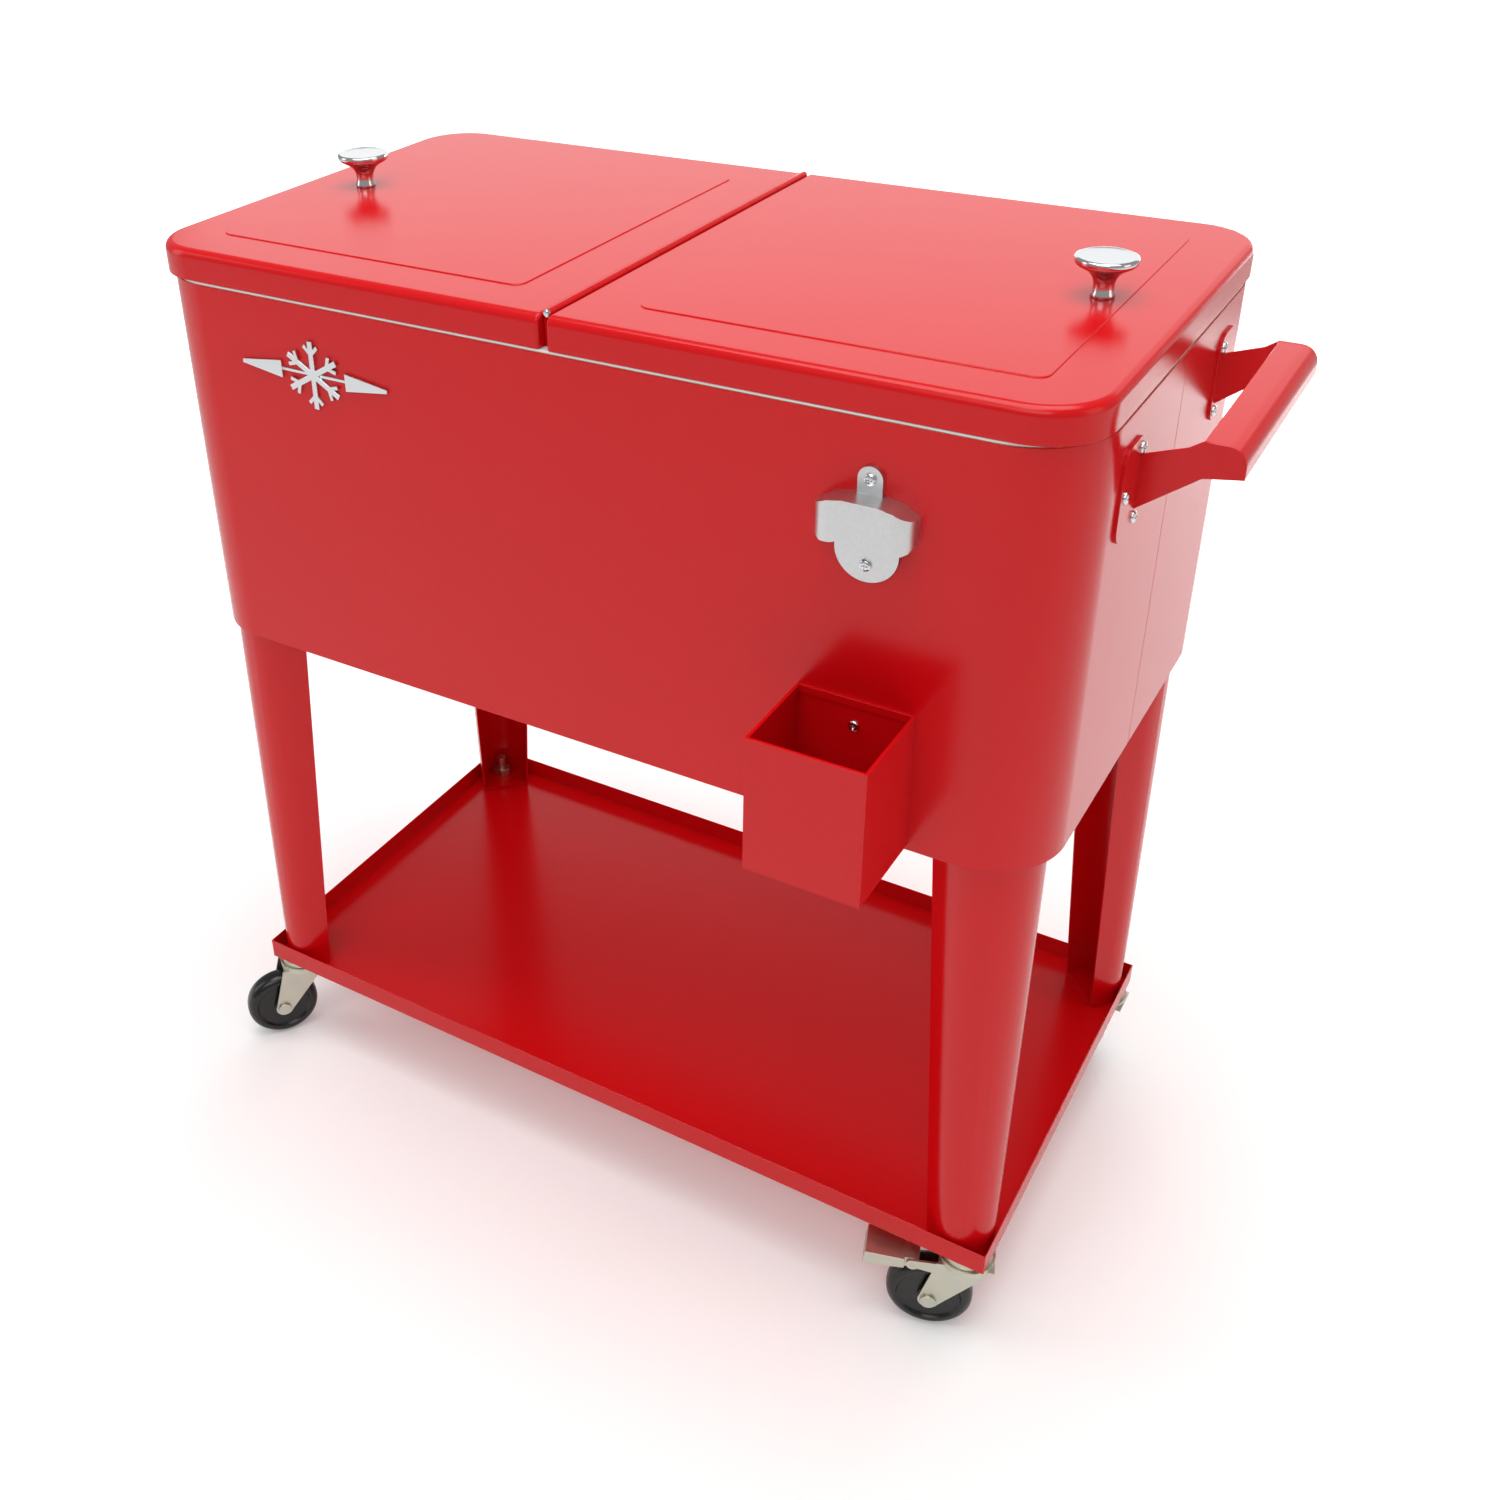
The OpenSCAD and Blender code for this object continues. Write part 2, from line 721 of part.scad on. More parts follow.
// Bent arm: a bracket on the end wall and a web that reaches out to the grip
module handle_arm(s, f) {
    corner = 14;
    color("firebrick") at_centre() on_side(s) scale([1, f, 1]) union() {
        translate([half_l, arm_y, grip_z]) rotate([90, 0, 0]) translate([0, 0, -handle_t / 2])
            linear_extrude(handle_t) arm_shape();
        difference() {
            from_end(0, 0) linear_extrude(handle_t) bracket_shape(corner);
            for (p = handle_screw_yz) from_end(p[0], p[1]) translate([0, 0, -1])
                cylinder(d = screw_d + 2 * screw_clear, h = handle_t + 2);
        }
    }
}

// Bracket's outline in the end wall's plane, with x down and y to the rear
module bracket_shape(r) {
    y0 = arm_y - 8;
    translate([-bracket_mid, y0 + bracket_w / 2]) round_rect(bracket_h, bracket_w, r);
}

// Folded grip between the arms: a top face, a rounded edge and an outer face
module handle_grip(s) {
    grip_l = handle_span - handle_t;
    r = grip_r;
    t = handle_t;
    color("firebrick") at_centre() on_side(s) translate([half_l, grip_l / 2, grip_z]) rotate([90, 0, 0])
        linear_extrude(grip_l) difference() {
            grip_outline(handle_reach - grip_w, handle_reach, 0, -grip_h, r);
            grip_outline(handle_reach - grip_w - 1, handle_reach - t, -t, -grip_h - 1, r - t);
        }
}

// Rectangle from x0 to x1 and y1 to y0 with its outer top corner rounded
module grip_outline(x0, x1, y0, y1, r) {
    translate([x0, y1]) square([x1 - r - x0, y0 - y1]);
    translate([x0, y1]) square([x1 - x0, y0 - r - y1]);
    intersection() {
        translate([x1 - r, y0 - r]) circle(r);
        translate([x1 - r - eps, y0 - r - eps]) square(r + 2 * eps);
    }
}

module handle_screws() {
    color("silver") at_centre() for (s = [-1, 1]) on_side(s)
        for (f = [-1, 1]) for (p = handle_screw_yz) from_end(f * p[0], p[1], handle_t)
            screw(screw_d, handle_t + screw_l, 8.4);
}

// Plan of a leg: a half-round front toward +X and two flanges behind it
module leg_plan(r, flange, t = 0) {
    intersection() {
        circle(r - t, $fn = 32);
        translate([0, -r]) square([r, 2 * r]);
    }
    translate([-flange - 2 * t, -r + t]) square([flange + 2 * t, 2 * (r - t)]);
}

// Size of a leg at the height z, between its values at the foot and at the top
function leg_size(z, foot, top) = foot + (top - foot) * (z - leg_z) / (pan_z - leg_z);

// Tapered solid of a leg between two heights, drawn in by t
module leg_hull(z0, z1, t) {
    hull() for (z = [z0, z1 - eps])
        translate([leg_size(z, leg_foot_x, leg_top_x), leg_size(z, leg_foot_y, leg_top_y), z]) rotate(45)
            linear_extrude(eps)
                leg_plan(leg_size(z, leg_foot_r, leg_top_r), leg_size(z, leg_foot_flange, leg_top_flange), t);
}

// Leg at the rear right, closed at both ends by a plate and mirrored for the other corners
module leg_at(s, f) {
    color("firebrick") at_centre() on_side(s) scale([1, f, 1]) difference() {
        leg_hull(leg_z, pan_z, 0);
        leg_hull(leg_z + leg_plate_t, pan_z - leg_plate_t, leg_t);
        translate([caster_x, caster_y, leg_z - 1]) cylinder(r = stem_r + 0.2, h = leg_plate_t + 2);
        leg_bolts(0.2);
    }
}

// The two bolts through a leg's top plate
module leg_bolts(clear) {
    for (y = [-leg_bolt_y, leg_bolt_y]) translate([leg_top_x, leg_top_y, pan_z - leg_plate_t - 1]) rotate(45)
        translate([-4, y, 0]) cylinder(r = leg_bolt_r + clear, h = leg_plate_t + sheet_t + 11);
}

module leg_bolt_holes() {
    for (s = [-1, 1]) on_side(s) for (f = [-1, 1]) scale([1, f, 1]) leg_bolts(0.1);
}

module leg_screws() {
    color("silver") at_centre() for (s = [-1, 1]) on_side(s) for (f = [-1, 1]) scale([1, f, 1]) {
        leg_bolts(0);
        for (y = [-leg_bolt_y, leg_bolt_y]) translate([leg_top_x, leg_top_y, pan_z - leg_plate_t - 4]) rotate(45)
            translate([-4, y, 0]) cylinder(r = 5.5, h = 4, $fn = 6);
    }
}

// Shelf tray with a square rim
module tray() {
    color("firebrick") at_centre() difference() {
        translate([-tray_l / 2, -tray_w / 2, caster_h]) cube([tray_l, tray_w, tray_h]);
        translate([-tray_l / 2 + sheet_t, -tray_w / 2 + sheet_t, caster_h + sheet_t])
            cube([tray_l - 2 * sheet_t, tray_w - 2 * sheet_t, tray_h]);
        for (x = [-1, 1]) for (y = [-1, 1]) translate([x * caster_x, y * caster_y, caster_h - 1])
            cylinder(r = stem_r + 0.2, h = sheet_t + 2);
    }
}

module caster_nuts() {
    color("silver") at_centre() for (x = [-1, 1]) for (y = [-1, 1])
        translate([x * caster_x, y * caster_y, leg_z + leg_plate_t]) difference() {
            cylinder(r = stem_d * 0.95, h = 8, $fn = 6);
            translate([0, 0, -1]) cylinder(r = stem_r + 0.05, h = 10);
        }
}

// Places a caster's piece at its own corner
module at_caster(s, f) {
    translate([s * caster_x, centre_y + f * caster_y, 0]) children();
}

// Turn of a caster's fork at rest: the rear ones point straight back
function rest_turn(s, f) = f > 0 ? 0 : s > 0 ? turn_front_right : turn_front_left;

// Places a piece that swivels with its fork, drawn with the swivel axis at the origin
module at_fork(s, f) {
    at_caster(s, f) rotate(rest_turn(s, f)) children();
}

// Fixed part of a caster: stem, plate and kingpin with its rivet head
module caster_mount(s, f) {
    color("lightgray") at_caster(s, f) rotate_extrude() polygon([
        [0, head_z - 2],
        [8.5, head_z - 2],
        [8.5, head_z - 0.3],
        [6, head_z - 0.3],
        [6, head_top + 0.3],
        [raceway_r - 2, head_top + 0.3],
        [raceway_r - 2, caster_h],
        [stem_r, caster_h],
        [stem_r, caster_h + stem_l],
        [0, caster_h + stem_l]
    ]);
}

// Swivelling fork: a round head and two plates that narrow to the axle
module caster_fork(s, f, braked) {
    boss_r = axle_d / 2 + 4.5;
    color("lightgray") at_fork(s, f) difference() {
        union() {
            translate([0, 0, head_z]) cylinder(r = raceway_r, h = head_top - head_z);
            intersection() {
                union() {
                    for (y = [-fork_outer, fork_inner]) translate([0, y + fork_t, 0]) rotate([90, 0, 0])
                        linear_extrude(fork_t) fork_side(boss_r, braked);
                    translate([-raceway_r, -fork_outer, head_z])
                        cube([2 * raceway_r, 2 * fork_outer, fork_t]);
                }
                translate([-raceway_r - 40, -fork_outer, 0]) cube([2 * raceway_r + 50, 2 * fork_outer, head_top]);
            }
        }
        translate([0, 0, head_z - 5]) cylinder(r = 6 + run_clear, h = 20);
        translate([-trail, 0, axle_z]) rod_y(axle_d / 2 + 0.02, -50, 50);
        if (braked) translate([-pedal_x, 0, pedal_z]) rod_y(pedal_pin_r + run_clear, -50, 50);
    }
}

// Side plate of a fork, drawn with the swivel axis at x = 0
module fork_side(boss_r, braked) {
    translate([-trail, axle_z]) circle(boss_r);
    polygon([
        [-trail - boss_r * 0.97, axle_z + 1],
        [-raceway_r - 1, head_z + fork_t],
        [raceway_r * 0.75, head_z + fork_t],
        [raceway_r * 0.75, head_z - 4],
        [-trail + boss_r * 0.8, axle_z - boss_r * 0.55]
    ]);
    if (braked) {
        translate([-pedal_x, pedal_z]) circle(5);
        polygon([[-pedal_x - 4.5, pedal_z - 2], [-pedal_x, pedal_z + 5], [-raceway_r * 0.5, head_z + fork_t],
            [-raceway_r * 0.5, head_z - 12]]);
    }
}

// Wheel with a rounded tread, dished sides and a hub
module caster_wheel(s, f) {
    r = wheel_d / 2;
    h = wheel_w / 2;
    hub_r = axle_d / 2 + 5;
    color("dimgray") at_fork(s, f) translate([-trail, 0, axle_z]) rotate([90, 0, 0])
        rotate_extrude() polygon([
            [axle_d / 2 + run_clear, -h],
            [hub_r, -h],
            [hub_r + 1, -h + 3],
            [r - 10, -h + 3],
            [r - 8, -h + 1],
            [r - 3, -h + 0.6],
            [r, -h + 5],
            [r, h - 5],
            [r - 3, h - 0.6],
            [r - 8, h - 1],
            [r - 10, h - 3],
            [hub_r + 1, h - 3],
            [hub_r, h],
            [axle_d / 2 + run_clear, h]
        ]);
}

// Axle bolt with a low head at each end
module caster_axle(s, f) {
    end = fork_outer + 2.5;
    color("silver") at_fork(s, f) translate([-trail, 0, axle_z]) {
        rod_y(axle_d / 2, -end, end);
        for (y = [-end, fork_outer]) rod_y(axle_d / 2 + 2.5, y, y + 2.5);
    }
}

// Brake pedal: a hood over the wheel's back, turning on its own pin
module caster_brake(f) {
    inner_w = 2 * fork_inner - 1;
    outer_w = 2 * fork_outer;
    color("lightgray") at_fork(1, f) difference() {
        union() {
            translate([-pedal_x, 0, pedal_z]) rod_y(pedal_pin_r, -fork_outer, fork_outer);
            translate([-pedal_x, inner_w / 2, pedal_z]) rotate([90, 0, 0]) linear_extrude(inner_w)
                polygon([[5, 4], [5, -3], [-6, -13], [-12, -8], [-12, 3], [-2, 5]]);
            translate([-pedal_x, outer_w / 2, pedal_z]) rotate([90, 0, 0]) linear_extrude(outer_w)
                polygon([[-6.5, 5], [-6.5, -5], [-pedal_l + 5, -8], [-pedal_l, -5], [-pedal_l + 2, 6]]);
        }
        translate([-trail, 0, axle_z]) rod_y(wheel_d / 2 + pad_gap, -50, 50);
    }
}

// Drain fitting through the rear wall, with its flange inside the liner
module drain_fitting() {
    flange_t = 2.5;
    spout_end = half_w + drain_reach - drain_cap_t - 0.5;
    inner_y = opening_w / 2;
    color("whitesmoke") at_centre() translate([drain_x, 0, drain_z]) difference() {
        union() {
            rod_y(drain_r, inner_y - flange_t, spout_end);
            rod_y(drain_flange_r, inner_y - flange_t, inner_y);
        }
        rod_y(drain_r - 2.5, inner_y - 10, spout_end + 1);
    }
}

module drain_nut() {
    color("whitesmoke") at_centre() translate([drain_x, 0, drain_z]) difference() {
        rod_y(drain_flange_r, half_w, half_w + drain_nut_t);
        rod_y(drain_r + 0.05, half_w - 1, half_w + drain_nut_t + 1);
    }
}

module drain_cap() {
    start = half_w + drain_nut_t + 0.5;
    end = half_w + drain_reach;
    color("whitesmoke") at_centre() translate([drain_x, 0, drain_z]) difference() {
        union() {
            rod_y(drain_r + 3, start, end);
            for (a = [0:30:330]) rotate([0, a, 0]) translate([drain_r + 3, 0, 0]) rod_y(1.2, start + 1, end - 2);
        }
        rod_y(drain_r + run_clear, start - 1, end - drain_cap_t);
    }
}

shell_front();
shell_rear();
shell_floor();
foam_core();
liner();
hinge_beam();
hinge_rod();
badge();
bottle_opener();
opener_screws();
cap_catcher();
catcher_screw();
handle_arm(-1, -1);  // handle_arm_left_front
handle_arm(-1, 1);  // handle_arm_left_rear
handle_arm(1, -1);  // handle_arm_right_front
handle_arm(1, 1);  // handle_arm_right_rear
handle_grip(-1);  // handle_grip_left
handle_grip(1);  // handle_grip_right
handle_screws();
leg_at(-1, -1);  // leg_front_left
leg_at(1, -1);  // leg_front_right
leg_at(-1, 1);  // leg_rear_left
leg_at(1, 1);  // leg_rear_right
leg_screws();
tray();
caster_nuts();
drain_fitting();
drain_nut();
drain_cap();
lid_shell(-1);  // lid_left_shell
lid_liner(-1);  // lid_left_liner
lid_foam(-1);  // lid_left_foam
lid_hinge(-1);  // lid_left_hinge
lid_knob(-1);  // lid_left_knob
lid_screw(-1);  // lid_left_screw
lid_shell(1);  // lid_right_shell
lid_liner(1);  // lid_right_liner
lid_foam(1);  // lid_right_foam
lid_hinge(1);  // lid_right_hinge
lid_knob(1);  // lid_right_knob
lid_screw(1);  // lid_right_screw
caster_mount(-1, -1);  // caster_mount_front_left
caster_fork(-1, -1, false);  // caster_fork_front_left
caster_wheel(-1, -1);  // caster_wheel_front_left
caster_axle(-1, -1);  // caster_axle_front_left
caster_mount(1, -1);  // caster_mount_front_right
caster_fork(1, -1, true);  // caster_fork_front_right
caster_wheel(1, -1);  // caster_wheel_front_right
caster_axle(1, -1);  // caster_axle_front_right
caster_mount(-1, 1);  // caster_mount_rear_left
caster_fork(-1, 1, false);  // caster_fork_rear_left
caster_wheel(-1, 1);  // caster_wheel_rear_left
caster_axle(-1, 1);  // caster_axle_rear_left
caster_mount(1, 1);  // caster_mount_rear_right
caster_fork(1, 1, true);  // caster_fork_rear_right
caster_wheel(1, 1);  // caster_wheel_rear_right
caster_axle(1, 1);  // caster_axle_rear_right
caster_brake(-1);  // brake_front_right
caster_brake(1);  // brake_rear_right
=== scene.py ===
import math

import bmesh
import bpy
from mathutils import Matrix, Vector


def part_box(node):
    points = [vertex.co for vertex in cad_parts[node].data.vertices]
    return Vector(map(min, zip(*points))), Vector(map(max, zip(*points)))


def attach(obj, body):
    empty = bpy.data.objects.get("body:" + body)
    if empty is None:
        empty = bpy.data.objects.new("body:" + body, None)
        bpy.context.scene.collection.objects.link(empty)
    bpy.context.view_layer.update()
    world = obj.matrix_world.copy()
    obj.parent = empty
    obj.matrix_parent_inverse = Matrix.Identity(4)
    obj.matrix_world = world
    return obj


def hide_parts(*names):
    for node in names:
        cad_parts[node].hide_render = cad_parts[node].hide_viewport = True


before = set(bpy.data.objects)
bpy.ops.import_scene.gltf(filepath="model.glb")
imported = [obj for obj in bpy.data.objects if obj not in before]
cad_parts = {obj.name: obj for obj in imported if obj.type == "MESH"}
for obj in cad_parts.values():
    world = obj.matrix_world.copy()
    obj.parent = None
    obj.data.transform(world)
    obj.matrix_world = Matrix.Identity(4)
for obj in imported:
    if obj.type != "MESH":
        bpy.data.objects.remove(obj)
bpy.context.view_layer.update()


# --- Steel side wall ---------------------------------------------------------------------------
# Two pressed steel halves, front and rear, wrap round the insulation and meet in the middle of
# each end. Both edges turn in at the seam. Gloss red powder coat, baked on.

def linear(hex_colour):
    """sRGB hex colour as linear RGBA."""
    parts = [int(hex_colour[i:i + 2], 16) / 255 for i in (1, 3, 5)]
    return tuple(c / 12.92 if c <= 0.04045 else ((c + 0.055) / 1.055) ** 2.4 for c in parts) + (1.0,)


def add_node(tree, kind, settings=None, links=None):
    """Adds a shader node, sets its properties and sockets, and links its inputs."""
    node = tree.nodes.new(kind)
    for key, value in (settings or {}).items():
        if key in node.inputs:
            node.inputs[key].default_value = value
        else:
            setattr(node, key, value)
    for key, output in (links or {}).items():
        tree.links.new(output, node.inputs[key])
    return node


def new_material(name, **sockets):
    """Material with one Principled shader, whose plain sockets are set here."""
    material = bpy.data.materials.new(name)
    material.use_nodes = True
    shader = material.node_tree.nodes["Principled BSDF"]
    for key, value in sockets.items():
        shader.inputs[key.replace("_", " ")].default_value = value
    return material, material.node_tree, shader


def deselect():
    if bpy.context.object and bpy.context.object.mode != "OBJECT":
        bpy.ops.object.mode_set(mode="OBJECT")
    bpy.ops.object.select_all(action="DESELECT")


def make_active(piece):
    deselect()
    piece.select_set(True)
    bpy.context.view_layer.objects.active = piece


def edit(piece):
    make_active(piece)
    bpy.ops.object.mode_set(mode="EDIT")


def middle(edge):
    return sum((v.co for v in edge.verts), Vector()) / 2


def pick(kind, test):
    """Selects the edges or faces of the piece in edit mode that pass the test."""
    bpy.ops.mesh.select_mode(type=kind)
    bpy.ops.mesh.select_all(action="DESELECT")
    data = bpy.context.object.data
    mesh = bmesh.from_edit_mesh(data)
    for part in mesh.edges if kind == "EDGE" else mesh.faces:
        if test(part):
            part.select_set(True)
    mesh.select_flush_mode()
    bmesh.update_edit_mesh(data)


def is_upright(edge):
    a, b = (v.co for v in edge.verts)
    return abs(a.x - b.x) < 1e-5 and abs(a.y - b.y) < 1e-5


def level_at(z):
    """Test for an edge that lies wholly at the height z."""
    return lambda edge: all(abs(v.co.z - z) < 1e-5 for v in edge.verts)


def block(name, low, high):
    """Plain box between two corners, with its place in its mesh."""
    deselect()
    low, high = Vector(low), Vector(high)
    bpy.ops.mesh.primitive_cube_add(size=1, location=(low + high) / 2)
    piece = bpy.context.object
    piece.name = name
    piece.scale = high - low
    bpy.ops.object.transform_apply(location=True, rotation=True, scale=True)
    return piece


def modify(piece, kind, **settings):
    make_active(piece)
    modifier = piece.modifiers.new(kind.lower(), kind)
    for key, value in settings.items():
        setattr(modifier, key, value)
    bpy.ops.object.modifier_apply(modifier=modifier.name)


def round_edges(piece, width, segments=2, angle=35):
    modify(piece, "BEVEL", width=width, segments=segments, limit_method="ANGLE",
           angle_limit=math.radians(angle), use_clamp_overlap=True)


def finish_piece(piece, material, body, node, angle=30):
    """Smooths a piece, gives it its material, hangs it on the body it rides on and hides the frame part it
    stands for.
    """
    make_active(piece)
    bpy.ops.object.shade_smooth_by_angle(angle=math.radians(angle))
    modify(piece, "WEIGHTED_NORMAL", keep_sharp=True, weight=80)
    piece.data.materials.clear()
    piece.data.materials.append(material)
    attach(piece, body)
    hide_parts(node)


def pattern(tree, kind="ShaderNodeTexNoise", **settings):
    """Texture on the piece's Object coordinates."""
    place = add_node(tree, "ShaderNodeTexCoord")
    return add_node(tree, kind, settings, {"Vector": place.outputs["Object"]})


def two_tone(tree, shader, first, second, texture, output="Fac"):
    """Base colour that runs between two hex colours as the texture does."""
    tone = add_node(tree, "ShaderNodeMix", {"data_type": "RGBA"}, {"Factor": texture.outputs[output]})
    tone.inputs[6].default_value = linear(first)
    tone.inputs[7].default_value = linear(second)
    tree.links.new(tone.outputs[2], shader.inputs["Base Color"])


def uneven(tree, shader, smooth, rough, texture):
    """Roughness that runs between two values as the texture does."""
    spread = add_node(tree, "ShaderNodeMapRange", {"To Min": smooth, "To Max": rough},
                      {"Value": texture.outputs["Fac"]})
    tree.links.new(spread.outputs["Result"], shader.inputs["Roughness"])


def ripple(tree, shader, strength, depth, texture):
    """Bump as deep as the depth, in metres."""
    bump = add_node(tree, "ShaderNodeBump", {"Strength": strength, "Distance": depth},
                    {"Height": texture.outputs["Fac"]})
    tree.links.new(bump.outputs["Normal"], shader.inputs["Normal"])


# Gloss powder coat: an even, deep red with a fine orange-peel ripple of about 2.5 mm
red_paint, tree, shader = new_material("gloss_red_powder_coat", Roughness=0.2, IOR=1.5,
                                       Specular_IOR_Level=0.34)
two_tone(tree, shader, "#CC060E", "#D20911", pattern(tree, Scale=4.0, Detail=2.0))
ripple(tree, shader, 0.12, 0.0002, pattern(tree, Scale=400.0, Detail=1.0))

wall_corner = 0.058
wall_edge = 0.0008
wall_sheet = 0.0012
seam_turn = 0.006
wall_low = Vector(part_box("shell_front")[0])
wall_high = Vector(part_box("shell_rear")[1])
middle_y = (wall_low.y + wall_high.y) / 2
for name, side, seam in (("shell_front", -1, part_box("shell_front")[1].y),
                         ("shell_rear", 1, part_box("shell_rear")[0].y)):
    wall = block("wall_" + name, wall_low, wall_high)
    edit(wall)
    pick("EDGE", is_upright)
    bpy.ops.mesh.bevel(offset=wall_corner, segments=28, affect="EDGES")
    pick("FACE", lambda f: abs(f.normal.z) > 0.9)
    bpy.ops.mesh.delete(type="FACE")
    bpy.ops.mesh.select_all(action="SELECT")
    bpy.ops.mesh.bisect(plane_co=(0, seam, 0), plane_no=(0, -side, 0), clear_outer=True)
    for end in (-1, 1):
        pick("EDGE", lambda e: is_upright(e) and abs(middle(e).y - seam) < 1e-4 and middle(e).x * end > 0)
        bpy.ops.mesh.extrude_region_move(TRANSFORM_OT_translate={"value": (-end * seam_turn, 0, 0)})
    bpy.ops.object.mode_set(mode="OBJECT")
    modify(wall, "SOLIDIFY", thickness=wall_sheet, offset=-1)
    round_edges(wall, wall_edge, 3, 50)
    finish_piece(wall, red_paint, "root", name)


# --- Bottom pan and insulation -------------------------------------------------------------------
# A flat steel pan closes the underside, painted like the wall, and rigid foam fills the space
# between the steel and the liner. The foam never shows.

def from_frame(node, name, width, segments=2, angle=35):
    """Copy of a frame part with merged, rounded edges."""
    deselect()
    piece = bpy.data.objects.new(name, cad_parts[node].data.copy())
    bpy.context.scene.collection.objects.link(piece)
    edit(piece)
    bpy.ops.mesh.select_all(action="SELECT")
    bpy.ops.mesh.remove_doubles(threshold=1e-6)
    bpy.ops.mesh.dissolve_limited(angle_limit=math.radians(0.3))
    bpy.ops.object.mode_set(mode="OBJECT")
    round_edges(piece, width, segments, angle)
    return piece


# Width of the rounding on each kind of edge
fine_edge = 0.0003
sheared_edge = 0.0005
folded_edge = 0.0006
pressed_edge = 0.0008
cast_edge = 0.0012


def paint_node(node, material):
    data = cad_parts[node].data
    data.materials.clear()
    data.materials.append(material)


# Closed cells of about 1 mm
foam, tree, shader = new_material("rigid_polyurethane_foam", Roughness=0.9)
two_tone(tree, shader, "#E6D9A0", "#CDBE82", pattern(tree, "ShaderNodeTexVoronoi", Scale=900.0), "Distance")
for node in ("foam_core", "lid_left_foam", "lid_right_foam"):
    paint_node(node, foam)
pan = from_frame("shell_floor", "bottom_pan", sheared_edge)
finish_piece(pan, red_paint, "root", "shell_floor")


# --- Liner ---------------------------------------------------------------------------------------
# The tub that holds the ice: one vacuum-formed sheet of white plastic with rounded corners and
# floor. Its lip lies over the wall's top edge and shows as a pale line under the lids.

def rounded_sheet(name, low, high, z, radius, segments=16):
    """Flat sheet with round corners."""
    deselect()
    bpy.ops.mesh.primitive_plane_add(size=1, location=((low[0] + high[0]) / 2, (low[1] + high[1]) / 2, z))
    piece = bpy.context.object
    piece.name = name
    piece.scale = (high[0] - low[0], high[1] - low[1], 1)
    bpy.ops.object.transform_apply(location=True, rotation=True, scale=True)
    edit(piece)
    bpy.ops.mesh.select_all(action="SELECT")
    bpy.ops.mesh.bevel(offset=radius, segments=segments, affect="VERTICES")
    return piece


# White plastic with a faint draw ripple of about 12 mm from the forming
white_plastic, tree, shader = new_material("vacuum_formed_white_abs", Roughness=0.28, IOR=1.5)
two_tone(tree, shader, "#ECEEEC", "#E4E7E6", pattern(tree, Scale=9.0, Detail=3.0))
ripple(tree, shader, 0.15, 0.0003, pattern(tree, Scale=80.0, Detail=1.0))

lip_low, lip_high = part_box("liner")
lip_inset = 0.0008
lip_width = 0.0222
lip_thick = 0.0021
liner_sheet = 0.0018
# The tub's walls lean in a little toward the floor, so that the sheet comes off its mould
tub_taper = (0.985, 0.97, 1)
floor_round = 0.022
lip_round = 0.003
lip_edge = 0.0007
tub_floor = lip_low.z + liner_sheet
liner = rounded_sheet("liner_tub", lip_low, lip_high, lip_high.z, wall_corner - lip_inset)
bpy.ops.mesh.select_mode(type="FACE")
bpy.ops.mesh.inset(thickness=lip_width)
bpy.ops.mesh.extrude_region_move(TRANSFORM_OT_translate={"value": (0, 0, tub_floor - lip_high.z)})
bpy.ops.transform.resize(value=tub_taper, center_override=(0, middle_y, tub_floor))
pick("EDGE", level_at(tub_floor))
bpy.ops.mesh.bevel(offset=floor_round, segments=6, affect="EDGES")
pick("EDGE", lambda e: level_at(lip_high.z)(e) and not e.is_boundary
     and any(f.normal.z < 0.5 for f in e.link_faces))
bpy.ops.mesh.bevel(offset=lip_round, segments=3, affect="EDGES")
bpy.ops.object.mode_set(mode="OBJECT")
modify(liner, "SOLIDIFY", thickness=lip_thick, offset=-1)
round_edges(liner, lip_edge, 2, 60)
finish_piece(liner, white_plastic, "root", "liner")


# --- Lids ----------------------------------------------------------------------------------------
# Each lid is a deep-drawn steel pan with a softly rounded edge and a raised panel pressed into its
# top, powder coated like the wall. A white formed cover closes it from below.

def join(name, pieces):
    deselect()
    for piece in pieces:
        piece.select_set(True)
    bpy.context.view_layer.objects.active = pieces[0]
    bpy.ops.object.join()
    pieces[0].name = name
    return pieces[0]


def round_upright(x, radius, segments):
    """Rounds the upright edges at the place x of the piece in edit mode."""
    pick("EDGE", lambda e: is_upright(e) and abs(middle(e).x - x) < 1e-4)
    bpy.ops.mesh.bevel(offset=radius, segments=segments, affect="EDGES")


lid_corner = 0.046
lid_edge = 0.0065
lid_rim_edge = 0.0004
hinge_edge = 0.0026
panel_border = 0.044
panel_corner = 0.009
panel_raise = 0.0008
panel_sink = 0.0006
panel_step = 0.0012
